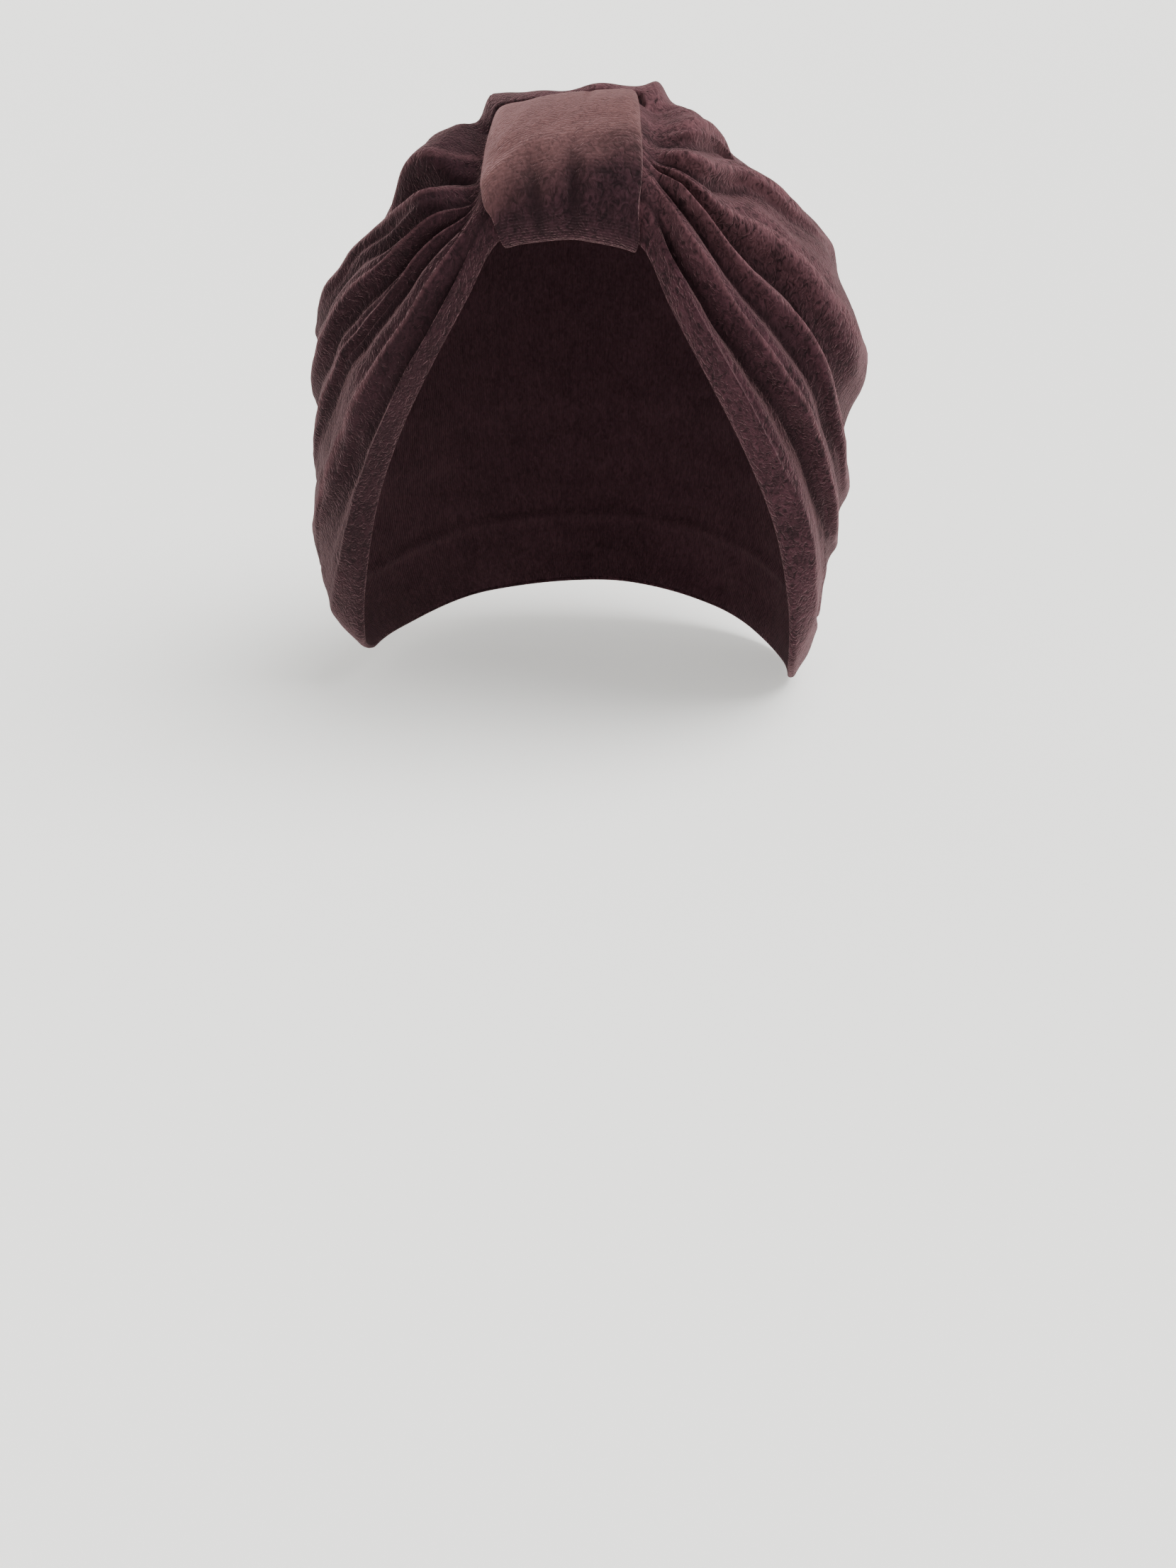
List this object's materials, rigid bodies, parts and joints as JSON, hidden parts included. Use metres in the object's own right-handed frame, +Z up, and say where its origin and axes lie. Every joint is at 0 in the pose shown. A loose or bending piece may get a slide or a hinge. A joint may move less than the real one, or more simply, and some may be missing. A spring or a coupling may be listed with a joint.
{
  "type": "turban cap",
  "caption": "Soft velvet turban cap: a gathered crown with pleats that fan down its sides from a wide front loop, open below and at the face.",
  "frame": {"origin": "head seat: the inside of the crown, where the top of the head bears", "axes": "+Z up, -Y towards the face opening and the loop, +X to the viewer's right from the front"},
  "size_m": [0.1855, 0.1778, 0.2042],
  "materials": {
    "crown_velvet": "aubergine velvet with a short crushed pile",
    "loop_velvet": "aubergine velvet with a short crushed pile"
  },
  "bodies": {
    "root": {"crown": "crown_velvet", "front_loop": "loop_velvet"}
  },
  "joints": []
}
